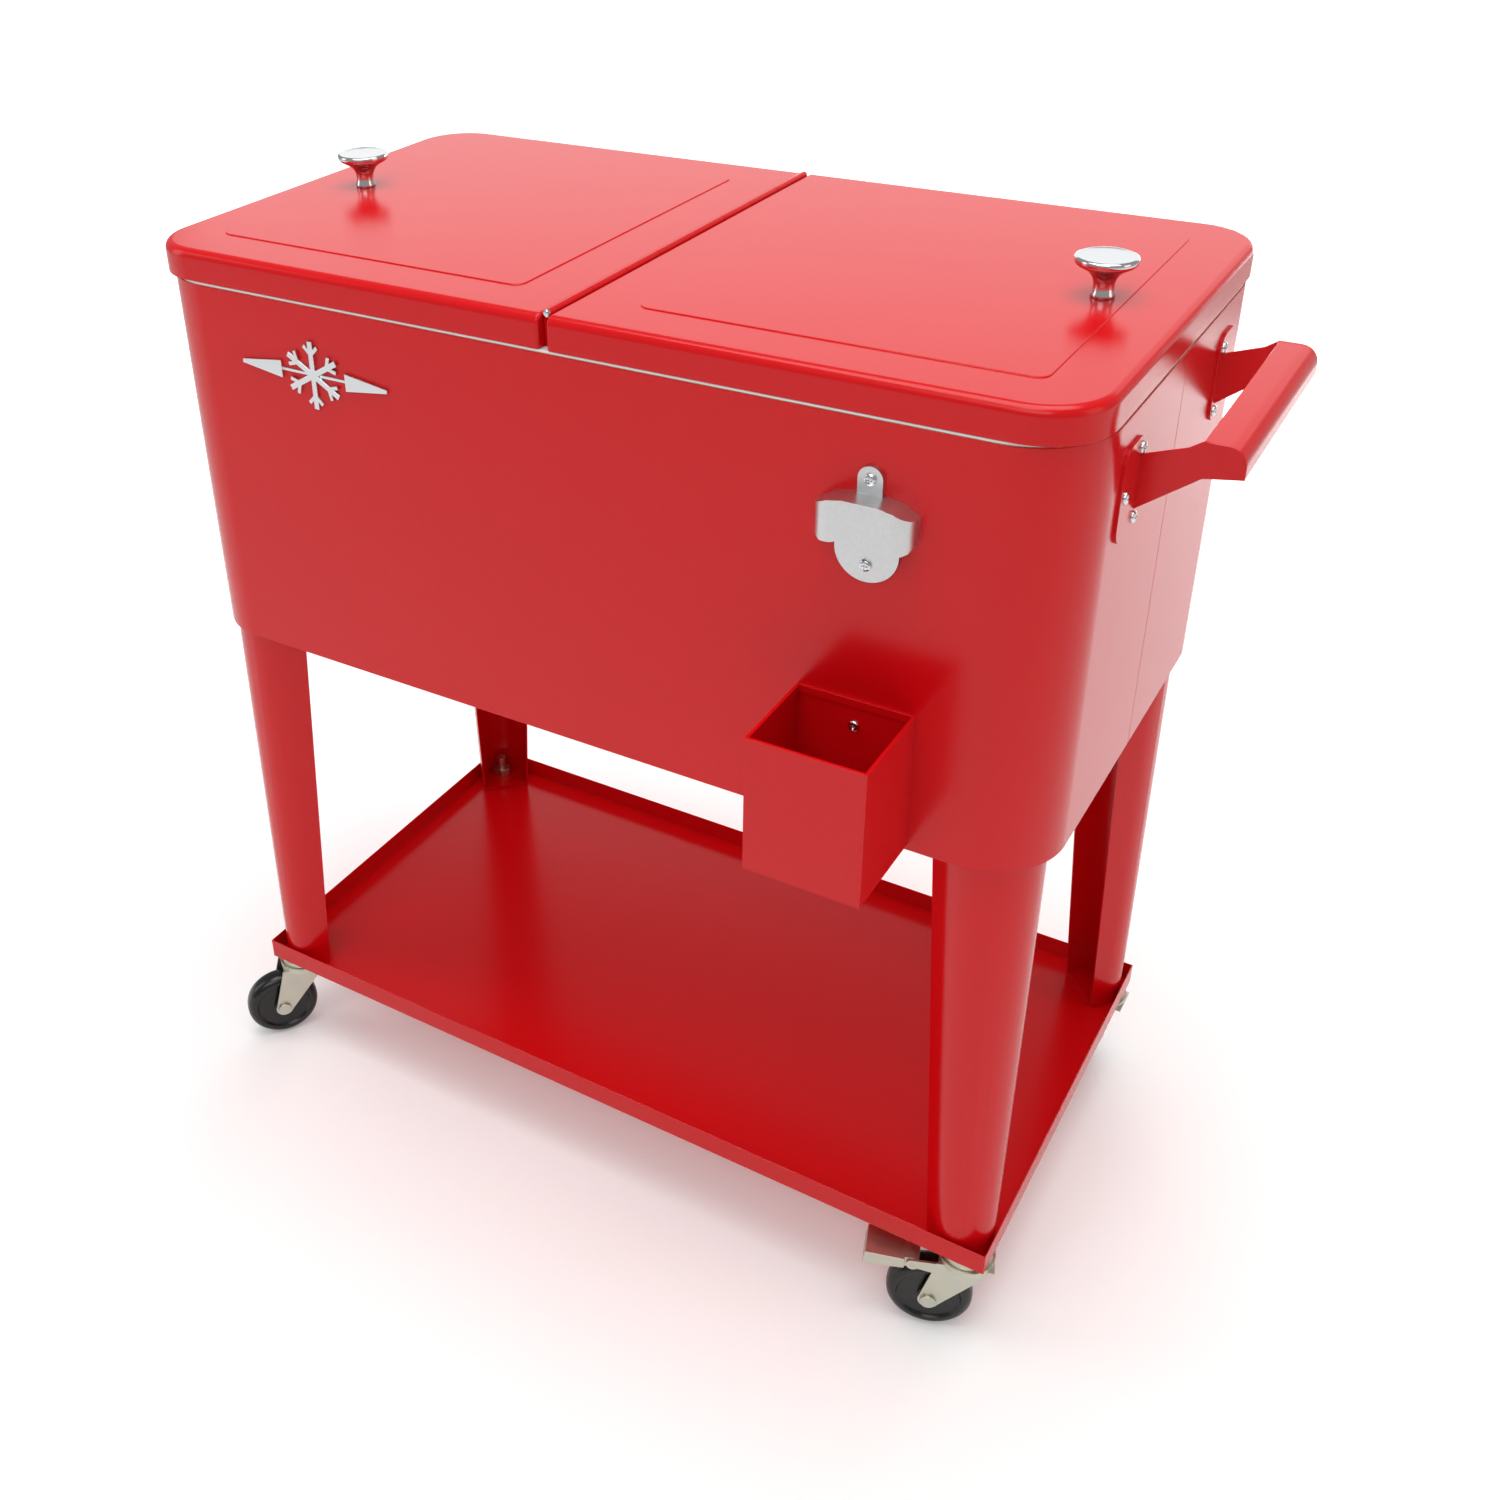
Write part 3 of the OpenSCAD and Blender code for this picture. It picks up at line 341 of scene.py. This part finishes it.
# Length past the hinge line that is cut off once the other edges are rounded
spare = 0.03
for word, side in (("left", -1), ("right", 1)):
    shell = f"lid_{word}_shell"
    low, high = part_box(shell)
    lid_top = high.z - panel_raise
    hinge_x = low.x if side > 0 else high.x
    outer_x = high.x if side > 0 else low.x
    start = hinge_x - side * spare
    left_x, right_x = sorted((start, outer_x))
    lid = block("pressed_lid_" + word, (left_x, low.y, low.z), (right_x, high.y, lid_top))
    edit(lid)
    round_upright(outer_x, lid_corner, 24)
    pick("EDGE", lambda e: level_at(lid_top)(e) and abs(middle(e).x - start) > 1e-4)
    bpy.ops.mesh.bevel(offset=lid_edge, segments=8, affect="EDGES")
    bpy.ops.mesh.select_all(action="SELECT")
    bpy.ops.mesh.bisect(plane_co=(hinge_x, 0, 0), plane_no=(side, 0, 0), clear_inner=True, use_fill=True)
    pick("EDGE", lambda e: all(abs(v.co.x - hinge_x) < 1e-5 for v in e.verts) and not level_at(low.z)(e))
    bpy.ops.mesh.bevel(offset=hinge_edge, segments=4, affect="EDGES")
    pick("FACE", lambda f: f.normal.z < -0.9)
    bpy.ops.mesh.delete(type="FACE")
    bpy.ops.object.mode_set(mode="OBJECT")
    modify(lid, "SOLIDIFY", thickness=wall_sheet, offset=-1)
    # The raised panel, a little wider at its foot
    near, far = sorted((hinge_x + side * panel_border, outer_x - side * panel_border))
    base_z = lid_top - panel_sink
    panel = rounded_sheet("panel", (near, low.y + panel_border), (far, high.y - panel_border), base_z,
                          panel_corner, 6)
    bpy.ops.mesh.select_mode(type="FACE")
    bpy.ops.mesh.extrude_region_move(TRANSFORM_OT_translate={"value": (0, 0, high.z - base_z)})
    bpy.ops.mesh.select_all(action="SELECT")
    bpy.ops.mesh.normals_make_consistent(inside=False)
    pick("EDGE", level_at(high.z))
    bpy.ops.mesh.bevel(offset=panel_step, segments=3, affect="EDGES")
    bpy.ops.object.mode_set(mode="OBJECT")
    round_edges(lid, lid_rim_edge, 2, 60)
    lid = join(lid.name, [lid, panel])
    finish_piece(lid, red_paint, "lid_" + word, shell, angle=25)


# --- Lid covers ----------------------------------------------------------------------------------
# A white formed cover clips into each lid from below, over the foam. Its middle panel enters the
# opening and keeps the cold in.

cover_rise = 0.009
cover_outer_corner = 0.0444
cover_hinge_corner = 0.0035
# Middle panel: the same clearance to the opening all round
plug_inner, plug_outer, plug_half_w = 0.019, 0.346, 0.173
plug_outer_corner = 0.028
plug_hinge_corner = 0.012
plug_edge = 0.0035
plug_overlap = 0.0006
recess_depth = 0.0011
for word, side in (("left", -1), ("right", 1)):
    low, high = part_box(f"lid_{word}_liner")
    cover_z = low.z + cover_rise
    outer_x, hinge_x = (high.x, low.x) if side > 0 else (low.x, high.x)
    cover = block("lid_cover_" + word, (low.x, low.y, cover_z), (high.x, high.y, cover_z + liner_sheet))
    edit(cover)
    round_upright(outer_x, cover_outer_corner, 24)
    round_upright(hinge_x, cover_hinge_corner, 3)
    bpy.ops.object.mode_set(mode="OBJECT")
    near, far = sorted((side * plug_inner, side * plug_outer))
    plug = block("plug", (near, middle_y - plug_half_w, low.z),
                 (far, middle_y + plug_half_w, cover_z + plug_overlap))
    edit(plug)
    round_upright(side * plug_outer, plug_outer_corner, 14)
    round_upright(side * plug_inner, plug_hinge_corner, 8)
    pick("EDGE", level_at(low.z))
    bpy.ops.mesh.bevel(offset=plug_edge, segments=4, affect="EDGES")
    # Shallow recess pressed up into the panel
    pick("FACE", lambda f: f.normal.z < -0.99)
    centre = ((near + far) / 2, middle_y, low.z)
    for shrink, rise in ((0.84, 0), (0.985, recess_depth)):
        bpy.ops.mesh.extrude_region_move(TRANSFORM_OT_translate={"value": (0, 0, rise)})
        bpy.ops.transform.resize(value=(shrink, shrink, 1), center_override=centre)
    bpy.ops.object.mode_set(mode="OBJECT")
    cover = join(cover.name, [cover, plug])
    finish_piece(cover, white_plastic, "lid_" + word, f"lid_{word}_liner")


# --- Hinge ---------------------------------------------------------------------------------------
# One long piano-type hinge between the lids: ears on the beam over the opening and curled knuckles
# on each lid, painted with the rest, round a bright steel rod.

def turned(name, profile, where, axis="Z", segments=64):
    """Piece turned about Z, Y or -Z: circles of each radius at each height, bridged and closed."""
    deselect()
    (first_r, first_h), rest = profile[0], profile[1:]
    bpy.ops.mesh.primitive_circle_add(vertices=segments, radius=first_r, location=(0, 0, first_h),
                                      fill_type="NGON")
    piece = bpy.context.object
    piece.name = name
    bpy.ops.object.transform_apply(location=True, rotation=True, scale=True)
    edit(piece)
    bpy.ops.mesh.select_mode(type="FACE")
    bpy.ops.mesh.select_all(action="SELECT")
    last_r, last_h = first_r, first_h
    for r, h in rest:
        bpy.ops.mesh.extrude_region_move(TRANSFORM_OT_translate={"value": (0, 0, h - last_h)})
        bpy.ops.transform.resize(value=(r / last_r, r / last_r, 1), center_override=(0, 0, h))
        last_r, last_h = r, h
    bpy.ops.mesh.select_all(action="SELECT")
    bpy.ops.mesh.normals_make_consistent(inside=False)
    bpy.ops.object.mode_set(mode="OBJECT")
    piece.rotation_euler = {"Z": (0, 0, 0), "Y": (-math.pi / 2, 0, 0), "-Z": (math.pi, 0, 0)}[axis]
    piece.location = where
    bpy.ops.object.transform_apply(location=True, rotation=True, scale=True)
    return piece


# Zinc plate: pale grey with a faint cool and straw bloom
zinc, tree, shader = new_material("zinc_plated_steel", Metallic=1.0)
bloom = pattern(tree, Scale=70.0, Detail=2.0)
two_tone(tree, shader, "#BFC6BC", "#D6D2BE", bloom)
uneven(tree, shader, 0.28, 0.45, bloom)

# Chrome plate: mirror bright, with the faintest haze
chrome, tree, shader = new_material("bright_chrome_plate", Metallic=1.0, Base_Color=linear("#D9DBDD"))
uneven(tree, shader, 0.05, 0.10, pattern(tree, Scale=120.0, Detail=2.0))

beam = from_frame("hinge_beam", "hinge_beam_and_ears", fine_edge)
finish_piece(beam, red_paint, "root", "hinge_beam")
for word in ("left", "right"):
    curl = from_frame(f"lid_{word}_hinge", "hinge_knuckles_" + word, fine_edge)
    finish_piece(curl, red_paint, "lid_" + word, f"lid_{word}_hinge")
rod_low, rod_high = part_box("hinge_rod")
rod_z = (rod_low.z + rod_high.z) / 2
rod_length = rod_high.y - rod_low.y
rod_r = 0.00165
# A domed head, and the same again at the far end
rod_head = [(0.0012, 0), (0.0022, 0.0003), (0.0028, 0.001), (0.0029, 0.0018), (0.0029, 0.0025),
            (rod_r, 0.0025)]
rod_profile = rod_head + [(r, rod_length - h) for r, h in reversed(rod_head)]
rod = turned("hinge_rod_bright", rod_profile, (0, rod_low.y, rod_z), "Y", 32)
finish_piece(rod, chrome, "root", "hinge_rod")


# --- Knobs ---------------------------------------------------------------------------------------
# A chromed, turned knob near the outer end of each lid: a narrow waist that opens to a flat disc
# with a rolled rim. One machine screw holds it from inside the lid.

bolt_shank = [(0.002, -0.03), (0.0025, -0.0295), (0.0025, 0)]
bolt_head = [(0.005, 0), (0.005, 0.0008), (0.0046, 0.0015), (0.0036, 0.002), (0.0022, 0.0022)]
for word in ("left", "right"):
    low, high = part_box(f"lid_{word}_knob")
    centre = ((low.x + high.x) / 2, (low.y + high.y) / 2, low.z)
    top_r = (high.x - low.x) / 2
    rise = high.z - low.z
    waist = [(0.0079, 0), (0.0083, 0.0006), (0.0083, 0.0024), (0.0077, 0.0034), (0.0072, 0.0060),
             (0.0071, 0.0085), (0.0075, 0.0112), (0.0086, 0.0138)]
    flare = [(0.0106, 0.0164), (0.0134, 0.0186), (0.0166, 0.0205), (0.0192, 0.0220), (0.0206, 0.0233),
             (top_r, 0.0246)]
    rim = [(top_r, rise - 0.0014), (top_r - 0.0005, rise - 0.0006), (top_r - 0.0016, rise - 0.0001),
           (top_r - 0.0034, rise), (top_r - 0.0046, rise - 0.0006), (0.0040, rise - 0.0002)]
    low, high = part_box(f"lid_{word}_screw")
    where = ((low.x + high.x) / 2, (low.y + high.y) / 2, low.z + bolt_head[-1][1])
    bolt = turned("knob_screw_" + word, bolt_shank + bolt_head, where, "-Z", 32)
    finish_piece(bolt, zinc, "lid_" + word, f"lid_{word}_screw")
    knob = turned("knob_" + word, waist + flare + rim, centre, "Z", 96)
    finish_piece(knob, chrome, "lid_" + word, f"lid_{word}_knob", angle=40)


# --- Bottle opener -------------------------------------------------------------------------------
# A small die-cast zinc opener on the front wall: a tab and a half-oval plate with an arched hood
# between them that catches the edge of the cap. Satin finish, held by two cross-head screws.

# Fine grain of about 2 mm, left by the die
cast_alloy, tree, shader = new_material("satin_die_cast_zinc", Metallic=1.0, Roughness=0.34)
grain = pattern(tree, Scale=500.0, Detail=3.0)
two_tone(tree, shader, "#C9CBCC", "#DADADA", grain)
ripple(tree, shader, 0.15, 0.0001, grain)

opener = from_frame("bottle_opener", "cast_opener", cast_edge, 3, 30)
finish_piece(opener, cast_alloy, "root", "bottle_opener", angle=40)

head_r = 0.0042
shank_r = 0.002
shank_length = 0.012
recess_floor = 0.0009
recess_half_length = head_r * 0.58
recess_half_width = 0.0005


def cross_head_screw(name, where, axis):
    """Pan-head screw with a cross recess; the head stands out along the axis."""
    shank = [(shank_r * 0.6, -shank_length), (shank_r, -shank_length + shank_r), (shank_r, 0)]
    head = [(head_r, 0), (head_r, 0.0008), (head_r * 0.95, 0.0014), (head_r * 0.82, 0.0019),
            (head_r * 0.6, 0.0022), (head_r * 0.3, 0.0023)]
    piece = turned(name, shank + head, (0, 0, 0), "Z", 32)
    for x, y in ((recess_half_length, recess_half_width), (recess_half_width, recess_half_length)):
        slot_cut = block("slot_cut", (-x, -y, recess_floor), (x, y, 0.004))
        modify(piece, "BOOLEAN", operation="DIFFERENCE", solver="EXACT", object=slot_cut)
        bpy.data.objects.remove(slot_cut)
    make_active(piece)
    turns = {"-Y": (math.pi / 2, 0, 0), "X": (0, math.pi / 2, 0), "-X": (0, -math.pi / 2, 0)}
    piece.rotation_euler = turns[axis]
    piece.location = where
    bpy.ops.object.transform_apply(location=True, rotation=True, scale=True)
    return piece


opener_low, opener_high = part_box("bottle_opener")
opener_x = (opener_low.x + opener_high.x) / 2
plate_thick = 0.0032
tab_screw_drop = 0.0085
plate_screw_rise = 0.012
screws = [cross_head_screw("opener_screw", (opener_x, opener_high.y - plate_thick, z), "-Y")
          for z in (opener_high.z - tab_screw_drop, opener_low.z + plate_screw_rise)]
finish_piece(join("opener_cross_head_screws", screws), chrome, "root", "opener_screws")


# --- Cap catcher ---------------------------------------------------------------------------------
# An open box folded from thin steel under the opener, its rim folded inward, painted like the wall
# and hung on one screw.

catcher = from_frame("cap_catcher", "folded_cap_catcher", folded_edge, 3)
finish_piece(catcher, red_paint, "root", "cap_catcher")
catch_low, catch_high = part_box("catcher_screw")
catch_x, catch_z = (catch_low.x + catch_high.x) / 2, (catch_low.z + catch_high.z) / 2
screw = cross_head_screw("catcher_cross_head_screw", (catch_x, wall_low.y - wall_sheet, catch_z), "-Y")
finish_piece(screw, chrome, "root", "catcher_screw")


# --- Badge ---------------------------------------------------------------------------------------
# A plain snowflake between two tapering bars, chromed, stuck on the front wall.

badge = from_frame("badge", "snowflake_badge", folded_edge, 3)
finish_piece(badge, chrome, "root", "badge", angle=40)


# --- Handles -------------------------------------------------------------------------------------
# On each end two bent steel arms, screwed to the wall, carry a grip folded from the same sheet.
# All of it is painted red; the screws are chromed.

bracket_sheet = 0.002
# Distance from the middle of the cart and height of the three screws of each bracket
handle_screw_places = ((0.098, 0.761), (0.124, 0.737), (0.098, 0.713))
for end in ("left", "right"):
    for row in ("front", "rear"):
        node = f"handle_arm_{end}_{row}"
        arm = from_frame(node, f"bent_arm_{end}_{row}", folded_edge, 3)
        finish_piece(arm, red_paint, "root", node)
    node = "handle_grip_" + end
    grip = from_frame(node, "folded_grip_" + end, folded_edge, 3)
    finish_piece(grip, red_paint, "root", node)
screws = []
for side, axis in ((-1, "-X"), (1, "X")):
    for row in (-1, 1):
        for along, up in handle_screw_places:
            where = (side * (wall_high.x + bracket_sheet), middle_y + row * along, up)
            screws.append(cross_head_screw("handle_screw", where, axis))
finish_piece(join("handle_cross_head_screws", screws), chrome, "root", "handle_screws")


# --- Legs ----------------------------------------------------------------------------------------
# Four tapering channels pressed from steel: a round front toward the corner and two flat flanges
# behind it, with a plate welded in at each end. Two bolts hold each to the bottom pan.

for row in ("front", "rear"):
    for end in ("left", "right"):
        node = f"leg_{row}_{end}"
        leg = from_frame(node, "pressed_" + node, sheared_edge, 2)
        finish_piece(leg, red_paint, "root", node)
bolts = from_frame("leg_screws", "leg_hex_bolts", sheared_edge)
finish_piece(bolts, zinc, "root", "leg_screws")


# --- Tray ----------------------------------------------------------------------------------------
# The lower shelf is one sheet with its four sides folded up, painted like the rest. The legs stand
# in its corners and the caster stems come up through it.

tray_low, tray_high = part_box("tray")
tray = block("folded_tray", tray_low, tray_high)
edit(tray)
pick("FACE", lambda f: f.normal.z > 0.9)
bpy.ops.mesh.delete(type="FACE")
bpy.ops.object.mode_set(mode="OBJECT")
modify(tray, "SOLIDIFY", thickness=wall_sheet, offset=-1)
round_edges(tray, sheared_edge, 3, 50)
finish_piece(tray, red_paint, "root", "tray")
nuts = from_frame("caster_nuts", "caster_stem_nuts", folded_edge)
finish_piece(nuts, zinc, "root", "caster_nuts")


# --- Casters -------------------------------------------------------------------------------------
# Four swivel casters: a zinc-plated fork under a round ball race, a glossy black polypropylene
# wheel on a bolt, and on the right-hand pair a brake pedal over the wheel.

black_wheel, tree, shader = new_material("glossy_black_polypropylene", Base_Color=linear("#101011"))
uneven(tree, shader, 0.16, 0.34, pattern(tree, Scale=260.0, Detail=4.0))

wheel_width = 0.022
# Degrees by which the front casters stand away from straight back
rest_turn = {"front_left": 52, "front_right": 18}


def wheel_profile(r, w):
    """Bore, hub, sunk face, rim bead and tread, and the same on the other face."""
    hub = [(0.0042, 0.0), (0.0085, 0.0), (0.0092, 0.0006), (0.0096, 0.003)]
    face = [(r - 0.0105, 0.003), (r - 0.0095, 0.0022), (r - 0.0085, 0.0010), (r - 0.0065, 0.0007)]
    tread = [(r - 0.0045, 0.0012), (r - 0.0025, 0.0026), (r - 0.0009, 0.0048), (r - 0.0002, 0.0075)]
    half = hub + face + tread + [(r, w / 2)]
    return [(a, b - w / 2) for a, b in half + [(a, w - b) for a, b in reversed(half[:-1])]]


for row in ("front", "rear"):
    for end in ("left", "right"):
        corner = f"{row}_{end}"
        mount = from_frame(f"caster_mount_{corner}", "stem_plate_" + corner, sheared_edge)
        finish_piece(mount, zinc, "root", f"caster_mount_{corner}", angle=40)
        fork = from_frame(f"caster_fork_{corner}", "pressed_fork_" + corner, folded_edge, 2)
        finish_piece(fork, zinc, "caster_" + corner, f"caster_fork_{corner}")
        low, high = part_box(f"caster_wheel_{corner}")
        hub = (low + high) / 2
        profile = wheel_profile((high.z - low.z) / 2, wheel_width)
        wheel = turned("wheel_" + corner, profile, (0, 0, 0), "Y", 72)
        wheel.rotation_euler = (0, 0, math.radians(rest_turn.get(corner, 0)))
        wheel.location = hub
        bpy.ops.object.transform_apply(location=True, rotation=True, scale=True)
        finish_piece(wheel, black_wheel, "wheel_" + corner, f"caster_wheel_{corner}", angle=35)
        axle = from_frame(f"caster_axle_{corner}", "axle_bolt_" + corner, folded_edge, 3)
        finish_piece(axle, zinc, "caster_" + corner, f"caster_axle_{corner}")
for row in ("front", "rear"):
    node = f"brake_{row}_right"
    pedal = from_frame(node, "pedal_" + node, pressed_edge, 3)
    finish_piece(pedal, zinc, node, node)


# --- Drain ---------------------------------------------------------------------------------------
# A moulded white polyethylene spout through the rear wall near the floor, with a nut and a ribbed
# screw cap.

white_drain, tree, shader = new_material("moulded_white_polyethylene", Roughness=0.45)
two_tone(tree, shader, "#E9E9E2", "#DDDDD4", pattern(tree, Scale=50.0, Detail=2.0))
for node, body in (("drain_fitting", "root"), ("drain_nut", "root"), ("drain_cap", "drain_cap")):
    part = from_frame(node, "moulded_" + node, folded_edge, 3)
    finish_piece(part, white_drain, body, node)


# --- Stage, light and camera ---------------------------------------------------------------------
# A plain pale floor under even studio light, with the camera to the front right and above.

deselect()
bpy.ops.mesh.primitive_plane_add(size=40, location=(0, 0, 0))
floor = bpy.context.object
floor.name = "studio_floor"
floor_paint, tree, shader = new_material("matt_white_floor", Base_Color=linear("#FBFBFB"), Roughness=0.9)
floor.data.materials.append(floor_paint)
# The camera sees the floor fade to white with distance, as on an overexposed sweep
place = add_node(tree, "ShaderNodeTexCoord")
away = add_node(tree, "ShaderNodeVectorMath", {"operation": "LENGTH"})
tree.links.new(place.outputs["Object"], away.inputs[0])
fade = add_node(tree, "ShaderNodeMapRange", {"From Min": 0.8, "From Max": 3.0, "To Min": 0.1, "To Max": 0.8},
                {"Value": away.outputs["Value"]})
ray = add_node(tree, "ShaderNodeLightPath")
lift = add_node(tree, "ShaderNodeMapRange", {},
                {"Value": ray.outputs["Is Camera Ray"], "To Max": fade.outputs["Result"]})
tree.links.new(lift.outputs["Result"], shader.inputs["Emission Strength"])
shader.inputs["Emission Color"].default_value = linear("#FFFFFF")

yaw, tilt, roll = math.radians(33.06), math.radians(30.17), math.radians(-2.0)
camera_data = bpy.data.cameras.new("camera")
camera_data.sensor_width = 36
camera_data.lens = 39.23
camera_data.shift_x = 0.0969
camera_data.shift_y = -0.0804
camera = bpy.data.objects.new("camera", camera_data)
bpy.context.scene.collection.objects.link(camera)
turn = Matrix.Rotation(yaw, 4, "Z")
turn = turn @ Matrix.Rotation(math.pi / 2 - tilt, 4, "X") @ Matrix.Rotation(roll, 4, "Z")
camera.matrix_world = Matrix.Translation((0.6001, middle_y - 1.0592, 1.1827)) @ turn
bpy.context.scene.camera = camera

world = bpy.data.worlds.new("studio")
world.use_nodes = True
backdrop = world.node_tree.nodes["Background"]
backdrop.inputs["Color"].default_value = linear("#FFFFFF")
ray = add_node(world.node_tree, "ShaderNodeLightPath")
lift = add_node(world.node_tree, "ShaderNodeMapRange", {"To Min": 0.34, "To Max": 1.0},
                {"Value": ray.outputs["Is Camera Ray"]})
world.node_tree.links.new(lift.outputs["Result"], backdrop.inputs["Strength"])
bpy.context.scene.world = world
# Plain colours, with no film look
bpy.context.scene.view_settings.view_transform = "Standard"


def softbox(name, place, aim, width, height, power, colour=(1.0, 1.0, 1.0)):
    light = bpy.data.lights.new(name, "AREA")
    light.shape = "RECTANGLE"
    light.size = width
    light.size_y = height
    light.energy = power
    light.color = colour
    lamp = bpy.data.objects.new(name, light)
    bpy.context.scene.collection.objects.link(lamp)
    lamp.location = place
    lamp.rotation_euler = (Vector(aim) - Vector(place)).to_track_quat("-Z", "Y").to_euler()


# A broad light overhead, a low wide one behind for the sheen on the lids, and a softer one each side
softbox("top_softbox", (0.1, -0.1, 3.6), (0, 0, 0.5), 3.0, 2.4, 82)
softbox("back_softbox", (-1.0, 3.6, 1.9), (0, 0, 0.9), 5.5, 1.8, 26)
softbox("left_softbox", (-3.0, -1.4, 1.6), (0, 0, 0.4), 1.2, 2.4, 14)
softbox("right_softbox", (3.2, 0.2, 1.4), (0, 0, 0.4), 1.4, 2.2, 12, (1.0, 0.72, 0.58))
softbox("front_fill", (0.5, -3.0, 3.2), (0, 0, 0.2), 3.0, 1.8, 34)
# Light that reaches the tray from behind, under the chest
softbox("low_back_softbox", (-0.3, 2.2, 0.5), (0, 0, 0.2), 2.6, 0.5, 24)
